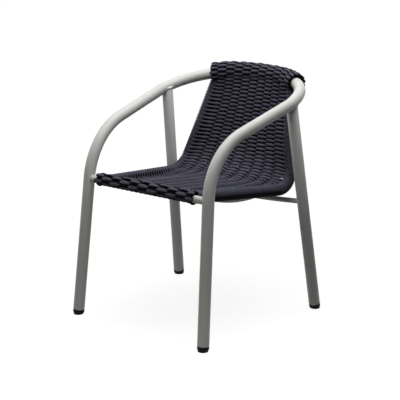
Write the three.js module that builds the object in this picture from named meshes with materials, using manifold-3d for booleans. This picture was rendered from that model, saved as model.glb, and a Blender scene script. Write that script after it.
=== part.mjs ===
// Armchair: a bent metal tube frame that carries a seat and back of woven rope.
// Lengths are millimetres. The chair faces -Y, +Z is up, and X = 0 is its plane of symmetry.
import * as THREE from 'three';
import { mergeVertices } from 'three/addons/utils/BufferGeometryUtils.js';
import Module from 'manifold-3d';

const wasm = await Module();
wasm.setup();

// Clearances: between touching pieces, and how far a cutting solid runs past what it cuts.
const touchGap = 0.3;
const cutOverrun = 30;

// Tubes: outer radius and wall
const frameRadius = 17.5;
const frameWall = 2.5;
const frontBarRadius = 11;
const frontBarWall = 2;
const rearBarRadius = 8;
const rearBarWall = 1.5;
const braceRadius = 8;
const braceWall = 1.5;
const railRadius = 10;
const railWall = 2;
const weldRadius = 2.4;

// Main hoop, one half: front foot, arm front, arm rear, back corner, middle of the top rail
const frontFootSide = 250;
const frontFootDepth = 300.5;
const armFrontSide = 227.5;
const armFrontDepth = 243;
const armFrontHeight = 559.5;
const armRearSide = 252;
const armRearDepth = 101;
const armRearHeight = 655;
const backCornerSide = 219;
const backCornerDepth = 267;
const backMiddleDepth = 286.5;
const armFrontBendRadius = 195;
const armRearBendRadius = 91;
const backCornerBendRadius = 195;
const backMiddleBendRadius = 400;
const longestBentShare = 0.96;

// Rear legs: foot on the floor, and the top beside the arm's axis, a little inboard of it
const rearFootSide = 281.5;
const rearFootDepth = 212.5;
const rearTopInset = 4.6;
const rearTopDepth = 115.5;

// Foot glides
const glideHeight = 15;
const glidePadHeight = 6;
const glidePadInset = 2;
const glideStemLength = 26;

// Rope and its warp cords, and the layers that wrap the tubes
const ropeDiameter = 8.3;
const warpThickness = 4;
const topWrapSlack = 1.6;
const weaveThickness = 18;

// Front bar, side rails that carry the weave, rear bar and seat brace
const frontBarHeight = 424.5;
const frontBareLength = 31;
const ropeStartShare = -0.8;
const ropeFullShare = -0.1;
const railCornerDepth = 159;
const railCornerHeight = 384;
const railLegClearance = 3.5;
const railKneeSide = 179;
const railKneeDepth = 194.5;
const railKneeDrop = 173.9;
const railTopSide = 146;
const railCornerBendRadius = 68;
const railKneeBendRadius = 200;
const rearBarClearance = 6.5;
const rearBarDrop = 12;
const braceDepth = 40;
const braceDrop = 55;
const topWrapOverhang = 8.5;

// Hollow of the seat and back: how far the middle lies below or behind the side rails
const seatSag = 2;
const seatRearHollow = 2;
const backHollow = 19;
const middleCornerBendRadius = 115;
const middleKneeBendRadius = 200;
const liftLength = 70;

// Facets
const frameSides = 16;
const boreSides = 10;
const slimSides = 12;
const wrapSides = 14;
const bendStep = THREE.MathUtils.degToRad(10);
const slimBendStep = THREE.MathUtils.degToRad(14);
const glideSegments = 16;
const weldRings = 14;
const weldSides = 5;
const panelAcross = 6;
const panelAlong = 18;
const braceSteps = 8;
const rearBarSteps = 6;

const wrapRadius = railRadius + touchGap + ropeDiameter;
const weaveLayer = warpThickness + ropeDiameter;
const weaveOverBar = frontBarRadius + touchGap + warpThickness / 2;
const weaveBeforeTopRail = frameRadius + touchGap + warpThickness / 2;
const topWrapRadius = frameRadius + touchGap + weaveLayer + topWrapSlack;

const powderCoat = { color: 0xd3d2cd, roughness: 0.42, metalness: 0.1 };
const rope = { color: 0x33343f, roughness: 0.9, metalness: 0 };
const nylon = { color: 0x111111, roughness: 0.6, metalness: 0 };

const chair = new THREE.Group();

// A tube's centre line: straight runs joined by circular bends, with rings only where it turns.
class BentLine extends THREE.Curve {
  constructor(stations) {
    super();
    this.stations = stations;
    this.steps = stations.length - 1;
  }

  stationAt(share) {
    return this.stations[Math.round(share * this.steps)];
  }

  getPointAt(share) {
    return this.stationAt(share).point.clone();
  }

  getTangentAt(share) {
    return this.stationAt(share).tangent.clone();
  }
}

function straightLine(start, end) {
  const tangent = end.clone().sub(start).normalize();
  return new BentLine([{ point: start, tangent }, { point: end, tangent }]);
}

function turnAt(before, corner, after) {
  return corner.clone().sub(before).angleTo(after.clone().sub(corner));
}

// Lengths that the bends take off the runs beside each corner, shortened where a run is too short.
function bendReaches(corners, bends) {
  const wanted = corners.map(() => 0);
  for (let i = 1; i < corners.length - 1; i += 1) {
    wanted[i] = bends[i - 1] * Math.tan(turnAt(corners[i - 1], corners[i], corners[i + 1]) / 2);
  }
  const fits = corners.map(() => 1);
  for (let i = 1; i < corners.length; i += 1) {
    const run = corners[i].distanceTo(corners[i - 1]);
    const bent = Math.max(wanted[i] + wanted[i - 1], Number.EPSILON);
    const fit = Math.min(1, (longestBentShare * run) / bent);
    fits[i] = Math.min(fits[i], fit);
    fits[i - 1] = Math.min(fits[i - 1], fit);
  }
  return wanted.map((reach, i) => reach * fits[i]);
}

function bendStations(before, corner, after, reach, step) {
  const arriving = corner.clone().sub(before).normalize();
  const leaving = after.clone().sub(corner).normalize();
  const turn = arriving.angleTo(leaving);
  const radius = reach / Math.tan(turn / 2);
  const start = corner.clone().addScaledVector(arriving, -reach);
  const inward = leaving.clone().addScaledVector(arriving, -leaving.dot(arriving)).normalize();
  const centre = start.clone().addScaledVector(inward, radius);
  const count = Math.max(1, Math.ceil(turn / step));
  const stations = [];
  for (let i = 0; i <= count; i += 1) {
    const angle = (turn * i) / count;
    const point = centre.clone()
      .addScaledVector(inward, -radius * Math.cos(angle))
      .addScaledVector(arriving, radius * Math.sin(angle));
    const tangent = arriving.clone().multiplyScalar(Math.cos(angle))
      .addScaledVector(inward, Math.sin(angle));
    stations.push({ point, tangent });
  }
  return stations;
}

function bentLine(corners, bends, step) {
  const reaches = bendReaches(corners, bends);
  const last = corners.length - 1;
  const stations = [{ point: corners[0], tangent: corners[1].clone().sub(corners[0]).normalize() }];
  for (let i = 1; i < last; i += 1) {
    stations.push(...bendStations(corners[i - 1], corners[i], corners[i + 1], reaches[i], step));
  }
  const ending = corners[last].clone().sub(corners[last - 1]).normalize();
  stations.push({ point: corners[last], tangent: ending });
  return new BentLine(stations);
}

function blendStations(a, b, share) {
  return {
    point: a.point.clone().lerp(b.point, share),
    tangent: a.tangent.clone().lerp(b.tangent, share).normalize(),
  };
}

// Where a centre line first passes a value of one coordinate, behind a given depth.
function stationWhere(line, axis, value, depth) {
  for (let i = 0; i < line.steps; i += 1) {
    const a = line.stations[i];
    const b = line.stations[i + 1];
    const before = a.point[axis] - value;
    const after = b.point[axis] - value;
    if (Math.min(a.point.y, b.point.y) >= depth && before * after <= 0 && before !== after) {
      return blendStations(a, b, before / (before - after));
    }
  }
  return line.stations[0];
}

// The stretch of a centre line between two sides of the chair, behind a given depth.
function stretchBetween(line, side, depth) {
  const inner = line.stations.filter((s) => Math.abs(s.point.x) < side && s.point.y > depth);
  const start = stationWhere(line, 'x', side, depth);
  const end = stationWhere(line, 'x', -side, depth);
  return new BentLine([start, ...inner, end]);
}

function runsOf(line) {
  const points = line.stations.map((s) => s.point);
  return points.slice(1).map((p, i) => p.distanceTo(points[i]));
}

function lengthOf(line) {
  return runsOf(line).reduce((sum, run) => sum + run, 0);
}

// The point of a line at a share of its length.
function pointAlong(line, share) {
  const runs = runsOf(line);
  let left = share * lengthOf(line);
  let i = 0;
  while (i < runs.length - 1 && left > runs[i]) {
    left -= runs[i];
    i += 1;
  }
  return line.stations[i].point.clone().lerp(line.stations[i + 1].point, left / runs[i]);
}

function circle(radius, sides) {
  const points = [];
  for (let i = 0; i < sides; i += 1) {
    const angle = (2 * Math.PI * i) / sides;
    points.push(new THREE.Vector2(radius * Math.cos(angle), radius * Math.sin(angle)));
  }
  return points;
}

// A circle whose flats lie outside the true radius, for bores and cutting solids.
function roundedOut(radius, sides) {
  return circle(radius / Math.cos(Math.PI / sides), sides);
}

function sweep(line, outline, bore) {
  const shape = new THREE.Shape(outline);
  if (bore) {
    shape.holes.push(new THREE.Path(bore));
  }
  const settings = { steps: line.steps, extrudePath: line, bevelEnabled: false };
  return new THREE.ExtrudeGeometry(shape, settings);
}

function tube(line, radius, wall, sides) {
  return sweep(line, circle(radius, sides), roundedOut(radius - wall, boreSides));
}

function cutter(line, radius, sides) {
  return solidOf(sweep(line, roundedOut(radius + touchGap, sides)));
}

function solidOf(geometry) {
  const bare = geometry.clone();
  bare.deleteAttribute('normal');
  bare.deleteAttribute('uv');
  const merged = mergeVertices(bare);
  const vertProperties = new Float32Array(merged.attributes.position.array);
  const triVerts = new Uint32Array(merged.index.array);
  return new wasm.Manifold(new wasm.Mesh({ numProp: 3, vertProperties, triVerts }));
}

function geometryOf(solid) {
  const mesh = solid.getMesh();
  const geometry = new THREE.BufferGeometry();
  geometry.setAttribute('position', new THREE.BufferAttribute(mesh.vertProperties, mesh.numProp));
  geometry.setIndex(new THREE.BufferAttribute(mesh.triVerts, 1));
  geometry.computeVertexNormals();
  return geometry;
}

function addPiece(name, geometry, finish) {
  const mesh = new THREE.Mesh(geometry, new THREE.MeshStandardMaterial(finish));
  mesh.name = name;
  chair.add(mesh);
}

function nameSide(hand) {
  return hand > 0 ? 'right' : 'left';
}

// Main hoop centre line. The arms and the top rail lie in one sloping plane.
const armSlope = (armRearHeight - armFrontHeight) / (armRearDepth + armFrontDepth);

function planeHeight(depth) {
  return armFrontHeight + armSlope * (depth + armFrontDepth);
}

function hoopCorners(hand) {
  return [
    new THREE.Vector3(hand * frontFootSide, -frontFootDepth, 0),
    new THREE.Vector3(hand * armFrontSide, -armFrontDepth, armFrontHeight),
    new THREE.Vector3(hand * armRearSide, armRearDepth, armRearHeight),
    new THREE.Vector3(hand * backCornerSide, backCornerDepth, planeHeight(backCornerDepth)),
  ];
}

function raisedFoot(foot, top) {
  const axis = top.clone().sub(foot).normalize();
  return foot.clone().addScaledVector(axis, glideHeight);
}

function hoopLine() {
  const right = hoopCorners(1);
  const left = hoopCorners(-1);
  right[0] = raisedFoot(right[0], right[1]);
  left[0] = raisedFoot(left[0], left[1]);
  const middle = new THREE.Vector3(0, backMiddleDepth, planeHeight(backMiddleDepth));
  const corners = [...right, middle, ...left.reverse()];
  const side = [armFrontBendRadius, armRearBendRadius, backCornerBendRadius];
  return bentLine(corners, [...side, backMiddleBendRadius, ...side.slice().reverse()], bendStep);
}

const hoop = hoopLine();
const hoopCutter = cutter(hoop, frameRadius, frameSides);

function pointAtHeight(foot, top, height) {
  return foot.clone().lerp(top, (height - foot.z) / (top.z - foot.z));
}

function frontLegPoint(hand, height) {
  const corners = hoopCorners(hand);
  return pointAtHeight(corners[0], corners[1], height);
}

const armAtRearLeg = stationWhere(hoop, 'y', rearTopDepth, -frontFootDepth);

function rearLegEnds(hand) {
  const foot = new THREE.Vector3(hand * rearFootSide, rearFootDepth, 0);
  const top = handed(armAtRearLeg.point, hand);
  top.x -= hand * rearTopInset;
  return [foot, top];
}

function rearLegPoint(hand, height) {
  return pointAtHeight(...rearLegEnds(hand), height);
}

// How far a point slides along a direction until it lies on the surface of a round host.
function slideOntoHost(point, direction, hostPoint, hostAxis, hostRadius) {
  const across = (v) => v.clone().addScaledVector(hostAxis, -v.dot(hostAxis));
  const gap = across(point.clone().sub(hostPoint));
  const way = across(direction);
  const a = way.lengthSq();
  const b = gap.dot(way);
  const rest = b * b - a * (gap.lengthSq() - hostRadius * hostRadius);
  return (-b - Math.sqrt(Math.max(rest, 0))) / a;
}

// A weld bead round the end of a round bar, laid on the surface of the tube that it meets.
function weldBead(barRadius, joint, direction, hostPoint, hostAxis) {
  const bead = new THREE.TorusGeometry(barRadius, weldRadius, weldSides, weldRings);
  const turn = new THREE.Quaternion().setFromUnitVectors(new THREE.Vector3(0, 0, 1), direction);
  bead.applyQuaternion(turn);
  const start = joint.clone().addScaledVector(direction, -frameRadius);
  const vertex = new THREE.Vector3();
  const positions = bead.attributes.position;
  for (let i = 0; i < positions.count; i += 1) {
    vertex.fromBufferAttribute(positions, i);
    const lengthwise = vertex.dot(direction);
    const radial = vertex.clone().addScaledVector(direction, -lengthwise).setLength(barRadius);
    const ringPoint = start.clone().add(radial);
    const slide = slideOntoHost(ringPoint, direction, hostPoint, hostAxis, frameRadius);
    vertex.add(start).addScaledVector(direction, slide);
    positions.setXYZ(i, vertex.x, vertex.y, vertex.z);
  }
  return solidOf(bead);
}

function legAxis(ends) {
  return ends[1].clone().sub(ends[0]).normalize();
}

// A bar between the two legs of a pair, with a bead at each end and its ends cut to the legs.
function addLegBar(name, line, radius, wall, sides, axisOf, legCutter) {
  let bar = solidOf(tube(line, radius, wall, sides));
  for (const hand of [1, -1]) {
    const station = hand > 0 ? line.stations[0] : line.stations[line.steps];
    const outward = station.tangent.clone().multiplyScalar(-hand);
    bar = bar.add(weldBead(radius, station.point, outward, station.point, axisOf(hand)));
  }
  addPiece(name, geometryOf(bar.subtract(legCutter)), powderCoat);
}

// Front bar
const frontBarRight = frontLegPoint(1, frontBarHeight);
const frontBarLeft = frontLegPoint(-1, frontBarHeight);
const frontBar = straightLine(frontBarRight, frontBarLeft);

// Side rails
const railFrontSide = frontBarRight.x - frameRadius - frontBareLength - wrapRadius;
const railCornerSide = rearLegPoint(1, railCornerHeight).x - frameRadius - wrapRadius - railLegClearance;
const railTop = stationWhere(hoop, 'x', railTopSide, armRearDepth).point;
const railKneeHeight = railTop.z - railKneeDrop;

function railLine(hand) {
  const mirror = new THREE.Vector3(hand, 1, 1);
  const corners = [
    new THREE.Vector3(railFrontSide, frontBarRight.y, frontBarHeight),
    new THREE.Vector3(railCornerSide, railCornerDepth, railCornerHeight),
    new THREE.Vector3(railKneeSide, railKneeDepth, railKneeHeight),
    railTop.clone(),
  ];
  const bends = [railCornerBendRadius, railKneeBendRadius];
  return bentLine(corners.map((c) => c.multiply(mirror)), bends, slimBendStep);
}

const rails = { right: railLine(1), left: railLine(-1) };
const barCutter = cutter(frontBar, frontBarRadius, frameSides);

// Rear bar between the rear legs, bowed down in the middle below the weave
const rearBarHeight = railCornerHeight - wrapRadius - rearBarRadius - rearBarClearance;

// An arc across the chair through two mirrored ends, lowest in the middle
function sagLine(end, drop, steps) {
  const half = end.x;
  const radius = (half * half + drop * drop) / (2 * drop);
  const reach = Math.asin(Math.min(half / radius, 1));
  const stations = [];
  for (let i = 0; i <= steps; i += 1) {
    const angle = reach * (1 - (2 * i) / steps);
    const height = end.z - drop + radius * (1 - Math.cos(angle));
    const point = new THREE.Vector3(radius * Math.sin(angle), end.y, height);
    stations.push({ point, tangent: new THREE.Vector3(-Math.cos(angle), 0, -Math.sin(angle)) });
  }
  return new BentLine(stations);
}

const rearBar = sagLine(rearLegPoint(1, rearBarHeight), rearBarDrop, rearBarSteps);
const braceEnd = stationWhere(rails.right, 'y', braceDepth, -frontFootDepth).point;
const brace = sagLine(braceEnd, braceDrop, braceSteps);

// Middle line of the woven surface, from the front bar to the front of the top rail
function middleLine() {
  const top = stationWhere(hoop, 'x', 0, armRearDepth).point;
  const corners = [
    new THREE.Vector3(0, frontBarRight.y, frontBarHeight),
    new THREE.Vector3(0, railCornerDepth + seatRearHollow, railCornerHeight - seatSag),
    new THREE.Vector3(0, railKneeDepth + backHollow, railKneeHeight),
    new THREE.Vector3(0, top.y - weaveBeforeTopRail, top.z),
  ];
  return bentLine(corners, [middleCornerBendRadius, middleKneeBendRadius], slimBendStep);
}

const middle = middleLine();
const liftShare = liftLength / lengthOf(rails.right);

// The whole surface rises onto the front bar, and its sides come forward before the top rail.
function weaveLift(bulge, along) {
  const front = 1 - THREE.MathUtils.smoothstep(along, 0, liftShare);
  const rear = THREE.MathUtils.smoothstep(along, 1 - liftShare, 1) * (1 - bulge);
  return new THREE.Vector3(0, -weaveBeforeTopRail * rear, weaveOverBar * front);
}

function weavePoint(across, along) {
  const edge = pointAlong(rails.right, along);
  const centre = pointAlong(middle, along);
  const bulge = 1 - across * across;
  const point = new THREE.Vector3(across * edge.x, edge.y, edge.z);
  point.y += (centre.y - edge.y) * bulge;
  point.z += (centre.z - edge.z) * bulge;
  return point.add(weaveLift(bulge, along));
}

function weaveNormal(across, along) {
  const step = 1 / (panelAlong * panelAcross);
  const a0 = Math.max(across - step, -1);
  const a1 = Math.min(across + step, 1);
  const t0 = Math.max(along - step, 0);
  const t1 = Math.min(along + step, 1);
  const width = weavePoint(a1, along).sub(weavePoint(a0, along));
  const length = weavePoint(across, t1).sub(weavePoint(across, t0));
  return width.cross(length).normalize();
}

// A slab of the weave's thickness round the woven surface
function weaveSlab() {
  const positions = [];
  const rows = panelAlong + 1;
  const columns = panelAcross + 1;
  for (const face of [1, -1]) {
    for (let j = 0; j < rows; j += 1) {
      for (let i = 0; i < columns; i += 1) {
        const across = (2 * i) / panelAcross - 1;
        const along = j / panelAlong;
        const normal = weaveNormal(across, along);
        const point = weavePoint(across, along);
        point.addScaledVector(normal, (face * weaveThickness) / 2);
        positions.push(point.x, point.y, point.z);
      }
    }
  }
  const geometry = new THREE.BufferGeometry();
  geometry.setAttribute('position', new THREE.BufferAttribute(new Float32Array(positions), 3));
  geometry.setIndex(slabIndices(rows, columns));
  return geometry;
}

function slabIndices(rows, columns) {
  const indices = [];
  const at = (face, j, i) => face * rows * columns + j * columns + i;
  const quad = (a, b, c, d) => indices.push(a, b, c, a, c, d);
  for (let j = 0; j < rows - 1; j += 1) {
    for (let i = 0; i < columns - 1; i += 1) {
      quad(at(0, j, i), at(0, j, i + 1), at(0, j + 1, i + 1), at(0, j + 1, i));
      quad(at(1, j, i), at(1, j + 1, i), at(1, j + 1, i + 1), at(1, j, i + 1));
    }
  }
  const lastRow = rows - 1;
  const lastColumn = columns - 1;
  for (let i = 0; i < lastColumn; i += 1) {
    quad(at(0, 0, i), at(1, 0, i), at(1, 0, i + 1), at(0, 0, i + 1));
    quad(at(0, lastRow, i + 1), at(1, lastRow, i + 1), at(1, lastRow, i), at(0, lastRow, i));
  }
  for (let j = 0; j < lastRow; j += 1) {
    quad(at(0, j + 1, 0), at(1, j + 1, 0), at(1, j, 0), at(0, j, 0));
    quad(at(0, j, lastColumn), at(1, j, lastColumn), at(1, j + 1, lastColumn), at(0, j + 1, lastColumn));
  }
  return indices;
}

// Outline of the weave round the front bar: rope over the top and front, warp cords alone below
function frontWrapOutline(extra) {
  const thin = frontBarRadius + touchGap + warpThickness + extra;
  return circle(1, frameSides).map((way) => {
    const rise = THREE.MathUtils.smoothstep(way.y, ropeStartShare, ropeFullShare);
    return way.multiplyScalar(thin + ropeDiameter * rise);
  });
}

// An outline given in depth and height, run from side to side of the chair at the front bar
function acrossFront(outline, bore, halfLength) {
  const shape = new THREE.Shape(outline);
  if (bore) {
    shape.holes.push(new THREE.Path(bore));
  }
  const geometry = new THREE.ExtrudeGeometry(shape, { depth: 2 * halfLength, bevelEnabled: false });
  geometry.translate(0, 0, -halfLength);
  const turn = new THREE.Matrix4().makeBasis(
    new THREE.Vector3(0, 1, 0),
    new THREE.Vector3(0, 0, 1),
    new THREE.Vector3(1, 0, 0),
  );
  geometry.applyMatrix4(turn);
  geometry.translate(0, frontBarRight.y, frontBarHeight);
  return geometry;
}

const frontWrapSide = railFrontSide + wrapRadius;
const topWrapSide = railTopSide + wrapRadius + topWrapOverhang;
const topStretch = stretchBetween(hoop, topWrapSide, armRearDepth);

function addHoop() {
  addPiece('main_hoop', tube(hoop, frameRadius, frameWall, frameSides), powderCoat);
}

function addRearLegs() {
  for (const hand of [1, -1]) {
    const [foot, top] = rearLegEnds(hand);
    const axis = legAxis([foot, top]);
    const end = top.clone().addScaledVector(axis, weldRadius);
    const line = straightLine(raisedFoot(foot, top), end);
    const armPoint = handed(armAtRearLeg.point, hand);
    const armTangent = handed(armAtRearLeg.tangent, hand);
    const bead = weldBead(frameRadius, top, axis, armPoint, armTangent);
    const leg = solidOf(tube(line, frameRadius, frameWall, frameSides)).add(bead);
    addPiece(`rear_leg_${nameSide(hand)}`, geometryOf(leg.subtract(hoopCutter)), powderCoat);
  }
}

function handed(vector, hand) {
  return vector.clone().multiply(new THREE.Vector3(hand, 1, 1));
}

function addCrossbars() {
  const frontAxis = (hand) => legAxis(hoopCorners(hand).slice(0, 2));
  addLegBar('front_crossbar', frontBar, frontBarRadius, frontBarWall, frameSides, frontAxis, hoopCutter);
  const legs = [1, -1].map((hand) => straightLine(...rearLegEnds(hand)));
  const legCutters = legs.map((line) => cutter(line, frameRadius, frameSides));
  const bothLegs = legCutters[0].add(legCutters[1]);
  const rearAxis = (hand) => legAxis(rearLegEnds(hand));
  addLegBar('rear_crossbar', rearBar, rearBarRadius, rearBarWall, slimSides, rearAxis, bothLegs);
}

function addRails() {
  for (const [side, line] of Object.entries(rails)) {
    const rail = solidOf(tube(line, railRadius, railWall, slimSides));
    const cut = rail.subtract(barCutter).subtract(hoopCutter);
    addPiece(`side_rail_${side}`, geometryOf(cut), powderCoat);
  }
}

function railCutters(radius) {
  return cutter(rails.right, radius, slimSides).add(cutter(rails.left, radius, slimSides));
}

function addBrace() {
  const bar = solidOf(tube(brace, braceRadius, braceWall, slimSides));
  addPiece('seat_brace', geometryOf(bar.subtract(railCutters(railRadius))), powderCoat);
}

function addGlides() {
  const boreRadius = frameRadius - frameWall - touchGap;
  const padRadius = frameRadius - glidePadInset;
  const ringTop = glideHeight - touchGap;
  const profile = [
    [0, -cutOverrun], [padRadius, -cutOverrun], [padRadius, glidePadHeight],
    [frameRadius, glidePadHeight], [frameRadius, ringTop], [boreRadius, ringTop],
    [boreRadius, ringTop + glideStemLength], [0, ringTop + glideStemLength],
  ].map(([radius, height]) => new THREE.Vector2(radius, height));
  const wide = rearFootSide + frontFootSide;
  const ground = new THREE.BoxGeometry(2 * wide, 2 * wide, 2 * cutOverrun);
  ground.translate(0, 0, -cutOverrun);
  const floor = solidOf(ground);
  for (const hand of [1, -1]) {
    const feet = { front: hoopCorners(hand).slice(0, 2), rear: rearLegEnds(hand) };
    for (const [place, ends] of Object.entries(feet)) {
      const glide = solidOf(glideOn(ends, profile)).subtract(floor);
      addPiece(`foot_glide_${place}_${nameSide(hand)}`, geometryOf(glide), nylon);
    }
  }
}

// A glide turned about the axis of its leg
function glideOn(ends, profile) {
  const glide = new THREE.LatheGeometry(profile, glideSegments);
  const turn = new THREE.Quaternion().setFromUnitVectors(new THREE.Vector3(0, 1, 0), legAxis(ends));
  glide.applyQuaternion(turn);
  glide.translate(ends[0].x, ends[0].y, ends[0].z);
  return glide;
}

function addWeave() {
  const bore = roundedOut(frontBarRadius + touchGap, frameSides);
  const frontWrap = solidOf(acrossFront(frontWrapOutline(0), bore, frontWrapSide));
  const frontOuter = solidOf(acrossFront(frontWrapOutline(touchGap), null, frontWrapSide + touchGap));
  const topWrapWall = topWrapRadius - frameRadius - touchGap;
  const topWrap = solidOf(tube(topStretch, topWrapRadius, topWrapWall, frameSides));
  const topOuter = cutter(topStretch, topWrapRadius, frameSides);
  const tubeCutter = cutter(brace, braceRadius, slimSides).add(barCutter).add(hoopCutter);
  const railCutter = railCutters(railRadius);
  addPiece('front_bar_wrap', geometryOf(frontWrap.subtract(railCutter)), rope);
  addPiece('top_rail_wrap', geometryOf(topWrap.subtract(railCutter)), rope);
  for (const [side, line] of Object.entries(rails)) {
    const sleeve = solidOf(tube(line, wrapRadius, wrapRadius - railRadius - touchGap, wrapSides));
    const cut = sleeve.subtract(frontOuter).subtract(topOuter).subtract(tubeCutter);
    addPiece(`rail_wrap_${side}`, geometryOf(cut), rope);
  }
  const panel = solidOf(weaveSlab()).subtract(railCutters(wrapRadius)).subtract(frontOuter);
  addPiece('woven_panel', geometryOf(panel.subtract(topOuter).subtract(tubeCutter)), rope);
}

addHoop();
addRearLegs();
addCrossbars();
addRails();
addBrace();
addGlides();
addWeave();

// The origin is the middle of the chair's footprint, on the floor.
const extent = new THREE.Box3().setFromObject(chair);
chair.position.y = -(extent.min.y + extent.max.y) / 2;

export default chair;
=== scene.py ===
"""Armchair: smooth metal tubes and a seat and back woven of dark rope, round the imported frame.

Lengths are millimetres until a mesh is made, in the frame of the part's own source, whose
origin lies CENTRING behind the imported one. The chair faces -Y and X = 0 is its mirror plane.
A hand is 1 for the half at +X, which the names call right, and -1 for the left half.
"""
import math

import bpy
import numpy as np
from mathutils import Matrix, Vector

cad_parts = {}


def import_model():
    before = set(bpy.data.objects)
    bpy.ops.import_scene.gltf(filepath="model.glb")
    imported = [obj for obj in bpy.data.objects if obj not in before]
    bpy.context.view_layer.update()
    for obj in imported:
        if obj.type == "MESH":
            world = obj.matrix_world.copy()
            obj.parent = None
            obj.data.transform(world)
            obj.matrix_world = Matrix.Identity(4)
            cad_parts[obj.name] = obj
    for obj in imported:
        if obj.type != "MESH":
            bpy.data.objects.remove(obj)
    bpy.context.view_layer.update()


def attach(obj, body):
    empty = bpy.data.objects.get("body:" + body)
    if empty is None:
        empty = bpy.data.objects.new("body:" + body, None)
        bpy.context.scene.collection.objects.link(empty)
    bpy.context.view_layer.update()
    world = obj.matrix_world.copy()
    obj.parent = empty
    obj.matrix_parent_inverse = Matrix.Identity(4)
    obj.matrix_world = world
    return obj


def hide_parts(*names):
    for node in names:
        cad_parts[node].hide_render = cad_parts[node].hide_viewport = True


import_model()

MM = 0.001
CENTRING = 0.385
TURN = 2 * math.pi
HANDS = ((1, "right"), (-1, "left"))
RNG = np.random.default_rng(20)


def vec(*values):
    return np.array(values, float)


def unit(v):
    return v / np.linalg.norm(v, axis=-1, keepdims=True)


def smooth(x, low, high):
    """Rises from 0 at low to 1 at high without a kink."""
    share = np.clip((x - low) / (high - low), 0, 1)
    return share * share * (3 - 2 * share)


def blend(values, *shares):
    """The first value, plus each of the others by its share."""
    total = values[0]
    for value, share in zip(values[1:], shares):
        total = total + value * share
    return total


def mirrored(point, hand):
    return point * vec(hand, 1, 1)


def circle(count):
    """The angles of the points of a ring."""
    return TURN * np.arange(count) / count


def spokes(angle, first, second):
    """Directions at angles from the first of two directions towards the second."""
    return np.cos(angle)[:, None] * first + np.sin(angle)[:, None] * second


def add(thing):
    bpy.context.scene.collection.objects.link(thing)


# Camera, fitted to the tubes' edges in the photograph

def make_camera():
    data = bpy.data.cameras.new("camera")
    data.sensor_width = 36
    data.lens = 104.32
    data.clip_end = 50
    camera = bpy.data.objects.new("camera", data)
    camera.location = (2.21284, -2.67077, 1.20371)
    camera.rotation_euler = (math.radians(76.08), 0, math.radians(39.78))
    add(camera)
    bpy.context.scene.camera = camera


make_camera()


# Materials

POWDER_COLOURS = ((0.765, 0.755, 0.728), (0.805, 0.795, 0.768))
ROPE_COLOURS = ((0.101, 0.101, 0.139), (0.145, 0.145, 0.192))
NYLON_COLOURS = ((0.010, 0.010, 0.010), (0.018, 0.018, 0.018))
YARN_PITCH = 3.4
YARNS = 4
YARN_SHADE = (0.22, 0.82)
ROPE_ROUGHNESS = (0.2, 0.58)
SEED_SHARE = 0.15
# Painted shade in the rope's colour: its fades over a strand's flanks and over its depth in the
# weave, and the darkest share that they leave
FLANK_SHADE_FADE = (0.38, 1.0)
CREST_SHADE_FADE = (0.28, 0.85)
DARKEST_PAINTED_SHADE = 0.02


def grey(value):
    return (value, value, value)


class Nodes:
    """Short calls for making and linking the nodes of a material or of the world."""

    def __init__(self, owner, output):
        self.owner = owner
        owner.use_nodes = True
        self.tree = owner.node_tree
        self.tree.nodes.clear()
        self.output = self.new(output)

    def new(self, kind, inputs=None, **settings):
        node = self.tree.nodes.new("ShaderNode" + kind)
        for key, value in settings.items():
            setattr(node, key, value)
        for key, value in (inputs or {}).items():
            if isinstance(value, bpy.types.NodeSocket):
                self.tree.links.new(value, node.inputs[key])
            else:
                node.inputs[key].default_value = value
        return node

    def math(self, operation, *values):
        return self.new("Math", dict(enumerate(values)), operation=operation).outputs[0]

    def noise(self, scale, detail):
        place = self.new("TexCoord").outputs["Object"]
        inputs = {"Vector": place, "Scale": scale, "Detail": detail}
        return self.new("TexNoise", inputs).outputs["Fac"]

    def ramp(self, value, *stops):
        node = self.new("ValToRGB", {"Fac": value})
        for element, (place, colour) in zip(node.color_ramp.elements, stops):
            element.position = place
            element.color = (*colour, 1)
        return node.outputs["Color"]

    def fade(self, value, low, high, start, end, kind="SMOOTHSTEP"):
        """Goes from start to end while the value goes from low to high."""
        inputs = {"Value": value, "From Min": low, "From Max": high,
                  "To Min": start, "To Max": end}
        return self.new("MapRange", inputs, interpolation_type=kind).outputs["Result"]

    def bump(self, height, distance, strength):
        inputs = {"Height": height, "Distance": distance, "Strength": strength}
        return self.new("Bump", inputs).outputs["Normal"]

    def seen(self):
        """1 for what the camera sees, directly or in or through a surface, and 0 for light."""
        path = self.new("LightPath").outputs
        other = self.math("MAXIMUM", path["Is Glossy Ray"], path["Is Transmission Ray"])
        return self.math("MAXIMUM", path["Is Camera Ray"], other)

    def finish(self, shader):
        self.tree.links.new(shader.outputs[0], self.output.inputs["Surface"])
        return self.owner


def material_nodes(name):
    return Nodes(bpy.data.materials.new(name), "OutputMaterial")


def powder_coat():
    n = material_nodes("powder_coat")
    dark, pale = POWDER_COLOURS
    shader = n.new("BsdfPrincipled", {
        "Base Color": n.ramp(n.noise(scale=9, detail=3), (0.3, dark), (0.7, pale)),
        "Roughness": n.ramp(n.noise(scale=60, detail=3), (0.3, grey(0.34)), (0.75, grey(0.43))),
        "Normal": n.bump(n.noise(scale=700, detail=2), distance=0.0001, strength=0.35),
        "Specular IOR Level": 0.35,
    })
    return n.finish(shader)


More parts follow.
